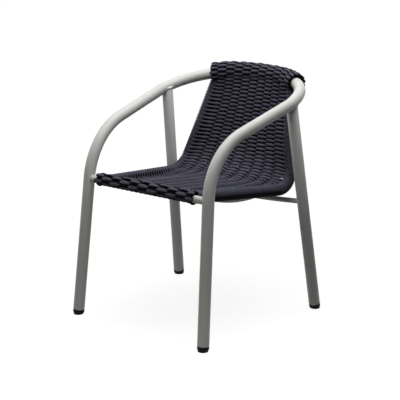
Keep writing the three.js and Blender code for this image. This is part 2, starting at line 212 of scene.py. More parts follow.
def rope():
    """Braided cord: crossing yarns in the bump, and each strand a shade of its own.

    The attribute lay holds the place along and round the strand, and its seed. Painted shade
    darkens the colour between the yarns, towards the strand's flanks and underside, and where
    crest says that it lies deep in the weave.
    """
    n = material_nodes("rope")
    lay = n.new("Attribute", attribute_name="lay").outputs["Vector"]
    along, around, seed = n.new("SeparateXYZ", {"Vector": lay}).outputs
    step = n.math("MULTIPLY", along, TURN / YARN_PITCH)
    turn = n.math("MULTIPLY", around, TURN * YARNS)
    right = n.math("SINE", n.math("ADD", step, turn))
    left = n.math("SINE", n.math("SUBTRACT", step, turn))
    yarns = n.math("MAXIMUM", right, left)
    fuzz = n.noise(scale=1800, detail=3)
    mottle = n.math("ADD", n.math("MULTIPLY", n.noise(scale=55, detail=4), 1 - SEED_SHARE),
                    n.math("MULTIPLY", seed, SEED_SHARE))
    dark, pale = ROPE_COLOURS
    colour = n.ramp(mottle, (0.25, dark), (0.75, pale))
    # Painted shade: darker towards a strand's flanks and underside
    facing = n.math("COSINE", n.math("MULTIPLY_ADD", around, TURN, -math.pi))
    flank = n.fade(facing, *FLANK_SHADE_FADE, DARKEST_PAINTED_SHADE, 1.0)
    # Painted shade: darker where crest says that the strand lies deep in the weave
    crest = n.new("Attribute", attribute_name="crest").outputs["Fac"]
    depth_shade = n.fade(crest, *CREST_SHADE_FADE, DARKEST_PAINTED_SHADE, 1.0)
    # deep: the yarn pattern, darker between the yarns, times both painted shades
    deep = n.math("MULTIPLY", n.math("MULTIPLY_ADD", yarns, *YARN_SHADE), flank)
    deep = n.math("MULTIPLY", deep, depth_shade)
    mixed = n.new("MixRGB", {"Fac": 1.0, "Color1": colour, "Color2": deep}, blend_type="MULTIPLY")
    shader = n.new("BsdfPrincipled", {
        "Base Color": mixed.outputs[0],
        "Roughness": n.math("MULTIPLY_ADD", fuzz, *ROPE_ROUGHNESS),
        "Normal": n.bump(n.math("ADD", yarns, fuzz), distance=0.00035, strength=0.45),
        "Specular IOR Level": 0.04,
    })
    return n.finish(shader)


def nylon():
    n = material_nodes("nylon")
    dark, pale = NYLON_COLOURS
    grain = n.noise(scale=900, detail=3)
    shader = n.new("BsdfPrincipled", {
        "Base Color": n.ramp(n.noise(scale=40, detail=2), (0.3, dark), (0.7, pale)),
        "Roughness": n.ramp(grain, (0.3, grey(0.42)), (0.7, grey(0.6))),
        "Normal": n.bump(grain, distance=0.0001, strength=0.3),
        "Specular IOR Level": 0.06,
    })
    return n.finish(shader)


MATERIALS = {"powder_coat": powder_coat(), "rope": rope(), "nylon": nylon()}


# Meshes

CHAMFER = 1.0
DOME_REACH = 0.8
DOME_STEPS = vec(1.0, 0.6)
DOME_SIZES = vec(0.35, 0.75)


def line_ways(points, closed):
    if closed:
        return unit(np.roll(points, -1, 0) - np.roll(points, 1, 0))
    return unit(np.gradient(points, axis=0))


def untwisted(tangents):
    """Normals carried along a line without twist."""
    start = np.cross(tangents[0], vec(1, 0, 0))
    if np.linalg.norm(start) < 0.3:
        start = np.cross(tangents[0], vec(0, 1, 0))
    normals = [unit(start)]
    for tangent in tangents[1:]:
        carried = normals[-1] - tangent * (normals[-1] @ tangent)
        normals.append(unit(carried))
    return np.array(normals)


def domed(points, normals, tangents, along, wide, thick):
    """Two smaller rings past each end of a strand, so that a cut end is rounded."""
    steps = DOME_STEPS * DOME_REACH * min(thick[0], thick[-1])
    head = points[0] - tangents[0] * steps[:, None]
    tail = points[-1] + tangents[-1] * steps[::-1, None]

    def kept(a):
        return np.concatenate([a[[0, 0]], a, a[[-1, -1]]])

    def shrunk(a):
        return np.concatenate([a[0] * DOME_SIZES, a, a[-1] * DOME_SIZES[::-1]])

    points = np.concatenate([head, points, tail])
    along = np.concatenate([along[0] - steps, along, along[-1] + steps[::-1]])
    return points, kept(normals), kept(tangents), along, shrunk(wide), shrunk(thick)


class Batch:
    """Collects swept rings into one mesh."""

    def __init__(self):
        self.points = []
        self.lays = []
        self.crests = []
        self.faces = []
        self.count = 0

    def rings(self, rings, along=0.0, seed=0.5, closed=False, crest=1.0):
        """Joins rings of points, and closes the ends unless the last ring meets the first."""
        n, m = rings.shape[:2]
        along = np.broadcast_to(np.broadcast_to(along, n)[:, None], (n, m))
        around = np.broadcast_to(np.arange(m) / m, (n, m))
        lay = np.stack([along, around, np.full((n, m), seed)], -1)
        base = self.count
        self.points.append(rings.reshape(-1, 3))
        self.lays.append(lay.reshape(-1, 3))
        # crest is kept for the rope's painted shade, which is darkest at 0
        self.crests.append(np.repeat(np.broadcast_to(crest, n), m))
        self.count += n * m
        ring = np.arange(n if closed else n - 1)[:, None]
        side = np.arange(m)[None, :]
        next_ring, next_side = (ring + 1) % n, (side + 1) % m
        quads = np.stack([ring * m + side, ring * m + next_side,
                          next_ring * m + next_side, next_ring * m + side], -1)
        self.faces.extend((quads.reshape(-1, 4) + base).tolist())
        if not closed:
            self.faces.append([base + q for q in range(m)][::-1])
            self.faces.append([base + (n - 1) * m + q for q in range(m)])

    def strand(self, points, normals, wide, thick, sides, closed=False, crest=1.0, seed=0.5):
        """A cord of elliptical section, with half its width across its normal and half its
        thickness along it. crest is 1 where it lies uppermost and 0 where it lies deep.
        """
        # crest also sets the painted shade that the rope material puts on the strand, darkest at 0
        count = len(points)
        wide, thick = np.broadcast_to(wide, count), np.broadcast_to(thick, count)
        tangents = line_ways(points, closed)
        runs = np.linalg.norm(np.diff(points, axis=0), axis=1)
        along = np.concatenate([[0], np.cumsum(runs)])
        crest = np.broadcast_to(crest, count)
        if not closed:
            crest = np.concatenate([crest[[0, 0]], crest, crest[[-1, -1]]])
            points, normals, tangents, along, wide, thick = domed(
                points, normals, tangents, along, wide, thick)
        across = unit(np.cross(tangents, normals))
        up = np.cross(across, tangents)
        angle = TURN * (np.arange(sides) / sides - 0.25)
        rings = (points[:, None]
                 + across[:, None] * (wide[:, None] * np.cos(angle))[..., None]
                 + up[:, None] * (thick[:, None] * np.sin(angle))[..., None])
        self.rings(rings, along, seed, closed, crest)

    def tube(self, points, radius, sides, closed=False, crest=1.0):
        """A round tube, with chamfered ends unless it is closed."""
        points = np.array(points, float)
        tangents = line_ways(points, closed)
        normals = untwisted(tangents)
        radius = np.broadcast_to(np.asarray(radius, float), len(points))
        if not closed:
            twice = np.concatenate([[0], np.arange(len(points)), [len(points) - 1]])
            points, radius = points[twice], radius[twice]
            tangents, normals = tangents[twice], normals[twice]
            points[1] += tangents[0] * CHAMFER
            points[-2] -= tangents[-1] * CHAMFER
            radius[[0, -1]] -= CHAMFER
        across = np.cross(tangents, normals)
        angle = circle(sides)
        rings = (points[:, None] + normals[:, None] * (radius[:, None] * np.cos(angle))[..., None]
                 + across[:, None] * (radius[:, None] * np.sin(angle))[..., None])
        self.rings(rings, closed=closed, crest=crest)

    def piece(self, name, slot, node, sharp=50):
        """Makes the mesh object. Edges above the sharp angle stay sharp, or none if it is 0."""
        points = np.concatenate(self.points) + vec(0, CENTRING, 0)
        mesh = bpy.data.meshes.new(name)
        mesh.from_pydata((points * MM).tolist(), [], self.faces)
        lay = mesh.attributes.new("lay", "FLOAT_VECTOR", "POINT")
        lay.data.foreach_set("vector", np.concatenate(self.lays).astype(np.float32).ravel())
        # crest sets how much painted shade the rope material puts on each point
        crest = mesh.attributes.new("crest", "FLOAT", "POINT")
        crest.data.foreach_set("value", np.concatenate(self.crests).astype(np.float32))
        mesh.shade_smooth()
        if sharp:
            mesh.set_sharp_from_angle(angle=math.radians(sharp))
        mesh.materials.append(MATERIALS[slot])
        piece = bpy.data.objects.new(name, mesh)
        add(piece)
        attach(piece, "root")
        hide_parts(node)


# Centre lines of the frame

BEND_STEP = math.radians(2.5)
BEND_ROOM = 0.96
SAG_STEPS = 36


def bent(corners, bends):
    """Straight runs joined by circular bends, as the part's source makes them.

    Bends that want more of a run than BEND_ROOM are made smaller.
    """
    want = [0.0] * len(corners)
    for i in range(1, len(corners) - 1):
        a, b = unit(corners[i] - corners[i - 1]), unit(corners[i + 1] - corners[i])
        want[i] = bends[i - 1] * math.tan(math.acos(a @ b) / 2)
    fits = [1.0] * len(corners)
    for i in range(1, len(corners)):
        run = np.linalg.norm(corners[i] - corners[i - 1])
        fit = min(1, BEND_ROOM * run / max(want[i] + want[i - 1], 1e-9))
        fits[i] = min(fits[i], fit)
        fits[i - 1] = min(fits[i - 1], fit)
    points = [corners[0]]
    for i in range(1, len(corners) - 1):
        a, b = unit(corners[i] - corners[i - 1]), unit(corners[i + 1] - corners[i])
        turn = math.acos(a @ b)
        reach = want[i] * fits[i]
        radius = reach / math.tan(turn / 2)
        inward = unit(b - a * (a @ b))
        start = corners[i] - a * reach
        count = max(1, math.ceil(turn / BEND_STEP))
        angle = turn * np.arange(count + 1)[:, None] / count
        points.extend(start + inward * radius * (1 - np.cos(angle)) + a * radius * np.sin(angle))
    points.append(corners[-1])
    return np.array(points)


def sagging(end, drop):
    """An arc from one end to its mirror image, with its middle lower by the drop."""
    half = end[0]
    radius = (half * half + drop * drop) / (2 * drop)
    angle = math.asin(half / radius) * (1 - 2 * np.arange(SAG_STEPS + 1) / SAG_STEPS)
    return np.stack([radius * np.sin(angle), np.full(SAG_STEPS + 1, end[1]),
                     end[2] - drop + radius * (1 - np.cos(angle))], -1)


class Line:
    """A polyline read by the share of its length."""

    def __init__(self, points):
        self.points = points
        runs = np.linalg.norm(np.diff(points, axis=0), axis=1)
        self.length = runs.sum()
        self.shares = np.concatenate([[0], np.cumsum(runs)]) / self.length

    def at(self, share):
        return np.stack([np.interp(share, self.shares, self.points[:, k]) for k in range(3)], -1)

    def toward(self, share, reach=0.008):
        share = np.clip(share, reach, 1 - reach)
        return unit(self.at(share + reach) - self.at(share - reach))


def crossing(points, axis, value, depth=-math.inf):
    """Where a polyline first passes a value of one coordinate, behind a depth."""
    for a, b in zip(points[:-1], points[1:]):
        before, after = a[axis] - value, b[axis] - value
        if min(a[1], b[1]) >= depth and before * after <= 0 and before != after:
            return a + (b - a) * before / (before - after)
    raise ValueError("the line doesn't pass there")


def at_height(ends, height):
    foot, top = ends
    return foot + (top - foot) * (height - foot[2]) / (top[2] - foot[2])


# Sizes as in the part's source: radii, clearances and the corners of the centre lines

FRAME_RADIUS = 17.5
FRONT_BAR_RADIUS = 11
SLIM_RADIUS = 8
RAIL_RADIUS = 10
GLIDE_HEIGHT = 15
ROPE = 8.3
WARP = 4.0
TOUCH = 0.3
WRAP_RADIUS = RAIL_RADIUS + TOUCH + ROPE
OVER_BAR = FRONT_BAR_RADIUS + TOUCH + WARP / 2
BEFORE_TOP = FRAME_RADIUS + TOUCH + WARP / 2

FRONT_FOOT = vec(250, -300.5, 0)
ARM_FRONT = vec(227.5, -243, 559.5)
ARM_REAR = vec(252, 101, 655)
TOP_CORNER = (219, 267)
TOP_DEPTH = 286.5
HOOP_BENDS = (195, 91, 195, 400, 195, 91, 195)
SLOPE = (ARM_REAR[2] - ARM_FRONT[2]) / (ARM_REAR[1] - ARM_FRONT[1])

REAR_FOOT = vec(281.5, 212.5, 0)
LEG_TOP_DEPTH = 115.5
LEG_TOP_INSET = 4.6
LEG_OVERRUN = 2.4

BAR_HEIGHT = 424.5
RAIL_FRONT_GAP = 31
RAIL_CORNER_GAP = 3.5
RAIL_CORNER_DEPTH = 159
RAIL_CORNER_HEIGHT = 384
RAIL_KNEE = (179, 194.5)
RAIL_TOP_SIDE = 146
RAIL_BENDS = (68, 200)
KNEE_DROP = 173.9
MIDDLE_CORNER = (161, 382)
MIDDLE_KNEE_DEPTH = 213.5
MIDDLE_BENDS = (115, 200)
BRACE_DEPTH = 40
BRACE_SAG = 55
REAR_BAR_GAP = 6.5
REAR_BAR_SAG = 12


def plane_height(depth):
    """Height of the sloping plane of the arms and the top rail."""
    return ARM_FRONT[2] + SLOPE * (depth - ARM_FRONT[1])


def hoop_corners(hand):
    side, depth = TOP_CORNER
    corners = (FRONT_FOOT, ARM_FRONT, ARM_REAR, vec(side, depth, plane_height(depth)))
    return [mirrored(corner, hand) for corner in corners]


def raised(foot, top):
    """Where a leg's tube begins, above its glide."""
    return foot + unit(top - foot) * GLIDE_HEIGHT


def hoop_points():
    right, left = hoop_corners(1), hoop_corners(-1)
    right[0], left[0] = raised(*right[:2]), raised(*left[:2])
    middle = vec(0, TOP_DEPTH, plane_height(TOP_DEPTH))
    return bent([*right, middle, *left[::-1]], HOOP_BENDS)


HOOP = hoop_points()
ARM = crossing(HOOP, 1, LEG_TOP_DEPTH)


def rear_leg(hand):
    return mirrored(REAR_FOOT, hand), mirrored(ARM - vec(LEG_TOP_INSET, 0, 0), hand)


FRONT = at_height(hoop_corners(1)[:2], BAR_HEIGHT)
RAIL_FRONT = FRONT[0] - FRAME_RADIUS - RAIL_FRONT_GAP - WRAP_RADIUS
RAIL_CORNER = (at_height(rear_leg(1), RAIL_CORNER_HEIGHT)[0]
               - FRAME_RADIUS - WRAP_RADIUS - RAIL_CORNER_GAP)
RAIL_TOP = crossing(HOOP, 0, RAIL_TOP_SIDE, ARM_REAR[1])
KNEE_HEIGHT = RAIL_TOP[2] - KNEE_DROP


def rail_points(hand):
    corners = (vec(RAIL_FRONT, FRONT[1], BAR_HEIGHT),
               vec(RAIL_CORNER, RAIL_CORNER_DEPTH, RAIL_CORNER_HEIGHT),
               vec(*RAIL_KNEE, KNEE_HEIGHT), RAIL_TOP)
    return bent([mirrored(corner, hand) for corner in corners], RAIL_BENDS)


def middle_points():
    """The middle of the woven surface, which ends before the top rail."""
    return bent([vec(0, FRONT[1], BAR_HEIGHT), vec(0, *MIDDLE_CORNER),
                 vec(0, MIDDLE_KNEE_DEPTH, KNEE_HEIGHT),
                 crossing(HOOP, 0, 0, ARM_REAR[1]) - vec(0, BEFORE_TOP, 0)], MIDDLE_BENDS)


RAIL = Line(rail_points(1))
MIDDLE = Line(middle_points())
BRACE = sagging(crossing(RAIL.points, 1, BRACE_DEPTH), BRACE_SAG)
REAR_BAR_HEIGHT = RAIL_CORNER_HEIGHT - WRAP_RADIUS - SLIM_RADIUS - REAR_BAR_GAP
REAR_BAR = sagging(at_height(rear_leg(1), REAR_BAR_HEIGHT), REAR_BAR_SAG)


# Frame pieces

WELD_RADIUS = 1.9
WELD_RIPPLE = 0.07
WELD_RIPPLES = 24
WELD_STEPS = 72
GLIDE_SIDES = 48
GLIDE_LEVEL = 5.5
GLIDE_PROFILE = (
    (14.2, 0.0), (15.2, 0.6), (15.5, 1.6), (15.5, 5.2), (15.7, 5.9), (16.4, 6.1), (17.1, 6.5),
    (17.5, 7.2), (17.5, 13.6), (17.2, 14.5), (16.6, 14.9), (14.8, 15.0), (14.4, 16.5),
    (14.4, 40), (13.4, 41),
)


def weld(batch, bar_radius, joint, direction, host_point, host_axis):
    """A bead round the end of a bar, on the surface of the tube that it meets.

    Its points slide along the bar from outside that tube, the host, until they touch it.
    """
    direction = unit(direction)
    side = unit(np.cross(direction, vec(0.3, 0.2, 1)))
    angle = circle(WELD_STEPS)
    ring = (joint - direction * FRAME_RADIUS
            + bar_radius * spokes(angle, side, np.cross(direction, side)))

    def across(v):
        return v - (v @ host_axis)[..., None] * host_axis

    gap, way = across(ring - host_point), across(direction)
    a, b = way @ way, gap @ way
    rest = b * b - a * ((gap * gap).sum(-1) - FRAME_RADIUS ** 2)
    slide = (-b - np.sqrt(np.maximum(rest, 0))) / a
    ripple = 1 + WELD_RIPPLE * np.sin(angle * WELD_RIPPLES)
    batch.tube(ring + direction * slide[:, None], WELD_RADIUS * ripple, sides=10, closed=True)


def frame_pieces():
    hoop = Batch()
    hoop.tube(HOOP, FRAME_RADIUS, sides=48)
    hoop.piece("hoop_tube", "powder_coat", "main_hoop")
    for hand, side in HANDS:
        leg = Batch()
        foot, top = rear_leg(hand)
        axis = unit(top - foot)
        leg.tube([raised(foot, top), top + axis * LEG_OVERRUN], FRAME_RADIUS, sides=48)
        arm = mirrored(ARM, hand)
        near = HOOP[np.argsort(np.linalg.norm(HOOP - arm, axis=1))[:2]]
        weld(leg, FRAME_RADIUS, top, axis, arm, unit(near[1] - near[0]))
        leg.piece(f"rear_leg_tube_{side}", "powder_coat", f"rear_leg_{side}")
        rail = Batch()
        rail.tube(rail_points(hand), RAIL_RADIUS, sides=20)
        rail.piece(f"rail_tube_{side}", "powder_coat", f"side_rail_{side}")
    bar = Batch()
    bar.tube([FRONT, mirrored(FRONT, -1)], FRONT_BAR_RADIUS, sides=40)
    rear = Batch()
    rear.tube(REAR_BAR, SLIM_RADIUS, sides=28)
    for hand, _ in HANDS:
        foot, top = hoop_corners(hand)[:2]
        joint = mirrored(FRONT, hand)
        weld(bar, FRONT_BAR_RADIUS, joint, vec(hand, 0, 0), joint, unit(top - foot))
        foot, top = rear_leg(hand)
        joint = mirrored(REAR_BAR[0], hand)
        outward = mirrored(REAR_BAR[0] - REAR_BAR[1], hand)
        weld(rear, SLIM_RADIUS, joint, outward, joint, unit(top - foot))
    bar.piece("front_bar_tube", "powder_coat", "front_crossbar")
    rear.piece("rear_bar_tube", "powder_coat", "rear_crossbar")
    brace = Batch()
    brace.tube(BRACE, SLIM_RADIUS, sides=28)
    brace.piece("brace_tube", "powder_coat", "seat_brace")


def glides():
    """Turned black feet, levelled towards their soles, which lie on the floor."""
    for hand, side in HANDS:
        for place, (foot, top) in (("front", hoop_corners(hand)[:2]), ("rear", rear_leg(hand))):
            axis = unit(top - foot)
            across = unit(np.cross(axis, vec(0, 1, 0)))
            spoke = spokes(circle(GLIDE_SIDES), across, np.cross(axis, across))
            rings = []
            for radius, height in GLIDE_PROFILE:
                ring = foot + axis * height + spoke * radius
                level = max(0, 1 - height / GLIDE_LEVEL)
                rings.append(ring + axis * (level * ((height - ring[:, 2:]) / axis[2])))
            glide = Batch()
            glide.rings(np.array(rings))
            glide.piece(f"glide_{place}_{side}", "nylon", f"foot_glide_{place}_{side}", sharp=35)


frame_pieces()
glides()


# The woven surface, from the front bar over the seat and up the back to the top rail. x runs
# across it, and t is the share of the side rail's length. Its terms come in tuples for blend.

ROWS = 115
FIRST_ROW, LAST_ROW = 2, 112
ROW_SPACING = 6.4
LIFT_LENGTH = 70
LIFT_SHARE = LIFT_LENGTH / RAIL.length
REST = RAIL_RADIUS + ROPE / 2
GUTTER = 13.0
COLUMN_SHARES = (0, 0.12, 0.30, 0.45, 0.56, 0.63, 0.70, 0.78, 0.86, 0.93, 1)
COLUMN_PITCHES = (36.4, 37.2, 39.8, 42.4, 43.6, 41.4, 37.4, 34.2, 31.8, 31.2, 31.6)
COLUMN_STEPS = 8
OUTER_COLUMN = 4
CLIMB = 0.45

# How high and how blunt the rows' crests are up the back, and what is added in the corner and
# on the seat
CREST_HEIGHTS = (5.0, 2.0, 0.6)
CREST_POWERS = (0.62, 0.3, 0.4)

# Half the width of a row, up the back, and what is added low on the back and on the seat
TROUGH_WIDTHS = (3.0, 1.3, 0.5)
CREST_WIDTHS = (5.8, 0.6, -0.5)
SWELL_POWER = 0.85

# Half the width past the outermost warp, and what is added beside the gutter
OVER_WIDTHS = (3.6, -0.6)
UNDER_WIDTHS = (5.0, 0.0)
PAST_SEAT_WIDTH = 1.2
OUTER_CREST_WIDTH = 5.45
OUTER_POWER = 0.55
RIB_WIDTHS = (0.7, -1.1)
RAIL_WIDTH = 3.25
BACK_RAIL_WIDTH = -0.5
FLANK_POINTS = 3
TAPER = np.linspace(1, 0.75, 4)

# Half the thickness of a row and what the seat adds, and the spread of width and of height
ROW_THICKNESS = 4.0
SEAT_THICKNESS = 1.0
ROW_FAT = 0.03
ROW_SLIP = 0.4

WARP_SPAN = (0.004, 0.99)
WARP_POINTS = 130

# Degrees round the side rail from outward over up: where a row comes to the rail, and what is
# added before the back and beside the gutter, with the count of points on the rail
OVER_ARC = ((122, 26, 24), 10)
UNDER_ARC = ((156, 22, 26), 13)
DIVE_FROM, DIVE_TO = 78, 26
DIVE_SINK = 3.2
SINK_FROM = (88, -10)
SINK_TO = (120, -8)
UNDER_SINK = 6.0
APPROACH_STEPS = 6

# The coils sink on the inner side, where the rows cover them, and get painted shade there and on
# their underside along the seat.
# Their half width is a share of the room for a turn, less from the corner on and up the back
COIL_STEPS = 18
COIL_SINK = 5.5
COIL_LEAD = 0.35
COIL_UNDERSIDE_SHADE = 0.75
COIL_WIDTHS = (0.72, -0.18, -0.09)


def blunt(phase, power):
    """The cosine of a row with fuller crests, as a thick rope makes them."""
    return np.sign(phase) * np.abs(phase) ** power


def seat_share(t):
    """1 on the seat and 0 past it."""
    return 1 - smooth(t, 0.40, 0.50)


def corner_share(t):
    """1 where the seat turns up into the back and 0 away from there."""
    return smooth(t, 0.40, 0.47) * (1 - smooth(t, 0.60, 0.67))


def gutter_share(t):
    """1 where the sides of the seat hang below the rails' axes."""
    return smooth(t, 0.06, 0.17) * (1 - smooth(t, 0.34, 0.48))


def low_back_share(t):
    """1 low on the back, where the rows are pressed together."""
    return smooth(t, 0.52, 0.56) * (1 - smooth(t, 0.64, 0.69))


def back_share(t):
    """1 up the back, where the turns round the side rails stand apart."""
    return smooth(t, 0.52, 0.60)


def bulge(x, t):
    """1 on the mirror plane and 0 at the side rail."""
    return 1 - (x / RAIL.at(t)[..., 0]) ** 2


def lift(x, t):
    """The surface rises onto the front bar, and its sides come forward before the top rail."""
    front = 1 - smooth(t, 0, LIFT_SHARE)
    hang = GUTTER * gutter_share(t) * smooth(1 - bulge(x, t), 0.12, 0.64)
    rear = smooth(t, 1 - LIFT_SHARE, 1) * (1 - bulge(x, t))
    return np.stack([np.zeros_like(rear), -BEFORE_TOP * rear, OVER_BAR * front - hang], -1)


def bare_surface(x, t):
    edge, centre = RAIL.at(t), MIDDLE.at(t)
    point = edge + (centre - edge) * bulge(x, t)[..., None]
    point[..., 0] = x
    return point


def surface(x, t):
    return bare_surface(x, t) + lift(x, t)


def surface_normal(x, t, reach=0.006):
    t0, t1 = np.clip(t - reach, 0, 1), np.clip(t + reach, 0, 1)
    wide = bare_surface(x + 1, t) - bare_surface(x - 1, t)
    return unit(np.cross(wide, surface(x, t1) - surface(x, t0)))


def column_pitch(t):
    return np.interp(t, COLUMN_SHARES, COLUMN_PITCHES)


def row_spacing(x, t):
    step = 1 / ROWS
    return np.linalg.norm(surface(x, np.clip(t + step / 2, 0, 1))
                          - surface(x, np.clip(t - step / 2, 0, 1)), axis=-1)


def rail_share(turn):
    """Where a turn lies along the side rail: up the back the rows climb a little to their ends."""
    share = (turn + 0.5) / ROWS
    return share + CLIMB / ROWS * smooth(share, 0.58, 0.70) * (1 - smooth(share, 0.93, 0.97))


def rail_axes(t, hand):
    """Axis point, and the outward and upward directions across the side rail."""
    edge = RAIL.at(t)
    along = RAIL.toward(t)
    wide = bare_surface(edge[..., 0], t) - bare_surface(edge[..., 0] - 2, t)
    up = unit(np.cross(wide, along))
    out = np.cross(along, up)
    return mirrored(edge, hand), mirrored(out, hand), mirrored(up, hand)


def hermite(a, b, a_way, b_way, shares):
    """A curve from a to b that leaves and comes in along given ways."""
    s = shares[:, None]
    return ((1 + 2 * s) * (1 - s) ** 2 * a + s * (1 - s) ** 2 * a_way
            + s * s * (3 - 2 * s) * b + s * s * (s - 1) * b_way)


def to_rail(start, t, over):
    """From the outermost warp up to the side rail and over its top.

    A row that passed under the warp climbs from deeper down the rail's inner flank than its
    neighbours that passed over it, so that slots are left between those.
    """
    axis, out, up = rail_axes(np.float64(t), 1)
    along = np.cross(up, out)
    a, b, c = ((start - axis) @ way for way in (out, up, along))
    gutter = gutter_share(t)
    leave, count = OVER_ARC if over else UNDER_ARC
    degrees = np.linspace(blend(leave, 1 - smooth(t, 0.5, 0.62), gutter), DIVE_TO, count)
    angle = np.radians(degrees)
    sunk = smooth(degrees, blend(SINK_FROM, gutter), blend(SINK_TO, gutter)) * (not over)
    dive = smooth(-degrees, -DIVE_FROM, -DIVE_TO)
    radius = REST - (UNDER_SINK * sunk + DIVE_SINK * dive)
    arc = np.stack([radius * np.cos(angle), radius * np.sin(angle)], -1)
    shares = np.arange(1, APPROACH_STEPS) / APPROACH_STEPS
    first = vec(a, b)
    reach = np.linalg.norm(arc[0] - first)
    climb = vec(math.sin(angle[0]), -math.cos(angle[0]))
    run = hermite(first, arc[0], vec(reach, 0), climb * reach, shares)
    flat = np.concatenate([run, arc])
    drift = np.maximum(90 - degrees, 0) / 360 * ROW_SPACING * back_share(t)
    slide = np.concatenate([c * (1 - shares), drift])
    points = axis + flat[:, :1] * out + flat[:, 1:] * up + slide[:, None] * along
    ways = unit(np.gradient(np.concatenate([first[None], flat]), axis=0)[1:])
    normals = -ways[:, 1:] * out + ways[:, :1] * up
    # Painted shade: rows that passed under the warp, and their sunk part on the rail, are darkened
    crest = np.concatenate([np.full(len(run), 1.0 if over else 0.0), 1 - sunk])
    return points, normals, len(run), crest


def outer_widths(t, over, strayed, free, room):
    """Half widths of a row from the outermost warp to its end at the side rail.

    free is how many of its points lie before the rail, and strayed how many column pitches
    each point has gone.
    """
    gutter = gutter_share(t)
    slack = (blend(OVER_WIDTHS if over else UNDER_WIDTHS, gutter)
             + PAST_SEAT_WIDTH * smooth(t, 0.40, 0.45))
    swell = np.where(strayed < 0.5, np.abs(np.cos(np.pi * strayed)) ** OUTER_POWER, 0)
    wide = (slack + (OUTER_CREST_WIDTH - slack) * swell) * room
    rail = free + FLANK_POINTS
    rib = blend(RIB_WIDTHS, gutter) * over
    wide[rail:] = RAIL_WIDTH + rib * np.linspace(1, 0, len(wide) - rail)
    wide[rail:] += BACK_RAIL_WIDTH * back_share(t)
    wide[-len(TAPER):] *= TAPER
    return wide


def half_row(k, hand):
    """One row from the middle of the weave outwards to where it dives over the side rail."""
    share = (k + 0.5) / ROWS
    corner, seat, low_back = corner_share(share), seat_share(share), low_back_share(share)
    pitch = column_pitch(share)
    x = np.arange(0, OUTER_COLUMN * COLUMN_STEPS + 1) / COLUMN_STEPS * pitch
    t = np.full_like(x, share)
    phase = blunt(np.cos(np.pi * (x / pitch + k)), blend(CREST_POWERS, corner, seat))
    over = phase[-1] > 0
    normals = surface_normal(x, t)
    height = blend(CREST_HEIGHTS, corner, seat) * phase
    points = surface(x, t) + normals * height[:, None]
    room = row_spacing(x, t) / ROW_SPACING
    narrow = blend(TROUGH_WIDTHS, low_back, seat)
    full = blend(CREST_WIDTHS, low_back, seat)
    wide = (narrow + (full - narrow) * np.abs(phase) ** SWELL_POWER) * room
    outer, outer_normals, free, outer_crest = to_rail(points[-1], rail_share(k), over)
    strayed = np.linalg.norm(outer - points[-1], axis=1) / pitch
    on_seat = np.concatenate([np.ones(len(x)), np.linspace(1, 0, free),
                              np.zeros(len(outer) - free)])
    thick = ROW_THICKNESS + SEAT_THICKNESS * seat * on_seat
    thick[-len(TAPER):] *= TAPER
    points = np.concatenate([points, outer])
    normals = np.concatenate([normals, outer_normals])
    wide = np.concatenate([wide, outer_widths(share, over, strayed, free, room[-1])])
    # Painted shade: the rows are darker where they dip under the warps
    crest = np.concatenate([0.5 + 0.5 * phase, outer_crest])
    return mirrored(points, hand), mirrored(normals, hand), wide, thick, crest


def weave_rows():
    rows = Batch()
    for k in range(FIRST_ROW, LAST_ROW + 1):
        right, left = half_row(k, 1), half_row(k, -1)
        points, normals, wide, thick, crest = (
            np.concatenate([a[::-1], b[1:]]) for a, b in zip(left, right))
        seed = RNG.random()
        fat = 1 + ROW_FAT * (RNG.random() - 0.5)
        points = points + normals * (ROW_SLIP * (RNG.random() - 0.5))
        rows.strand(points, normals, wide * fat, thick, sides=8, crest=crest, seed=seed)
    rows.piece("weave_rows", "rope", "woven_panel", sharp=0)


def weave_warps():
    warps = Batch()
    for column in range(-OUTER_COLUMN, OUTER_COLUMN + 1):
        t = np.linspace(*WARP_SPAN, WARP_POINTS)
        x = column * column_pitch(t)
        warps.strand(surface(x, t), surface_normal(x, t), WARP / 2, WARP / 2, sides=6,
                     seed=RNG.random())
    warps.piece("weave_warps", "rope", "woven_panel", sharp=0)


def rail_coil(hand, side):
    """Rope wound round a side rail, one turn for each row of the weave."""
    first = FIRST_ROW - 0.5
    turns = LAST_ROW + 1 - first
    angle = TURN * (first + np.arange(int(turns * COIL_STEPS) + 1) / COIL_STEPS)

    def place(offset):
        """Points, spokes and how much painted shade they get, with the turns moved along the rail.
        """
        t = np.clip(rail_share(angle / TURN + offset), 0, 1)
        axis, out, up = rail_axes(t, hand)
        spoke = spokes(angle, up, out)
        # Painted shade: on the inner side, where the rows cover the coil, and on its underside
        # along the seat
        inner = smooth(-np.sin(angle + COIL_LEAD), 0.1, 0.8)
        below = smooth(-np.cos(angle), -0.45, 0.25) * (1 - smooth(t, 0.46, 0.54))
        coil_shade = np.maximum(inner, COIL_UNDERSIDE_SHADE * below)
        return axis + spoke * (REST - COIL_SINK * inner)[:, None], spoke, coil_shade

    points, spoke, coil_shade = place(0.0)
    room = np.linalg.norm(place(0.5)[0] - place(-0.5)[0], axis=1)
    share = angle / (TURN * ROWS)
    wide = room * blend(COIL_WIDTHS, smooth(share, 0.44, 0.48), back_share(share))
    coil = Batch()
    coil.strand(points, spoke, wide, ROPE / 2, sides=8, crest=1 - coil_shade, seed=RNG.random())
    coil.piece(f"rail_coil_{side}", "rope", f"rail_wrap_{side}", sharp=0)


# Rows of rope along the front bar and round the top rail. middle is the radius that a row
# waves about and lean what it loses for each millimetre of x. Its half width goes from narrow
# to wide, and its half thickness from pressed to thick.

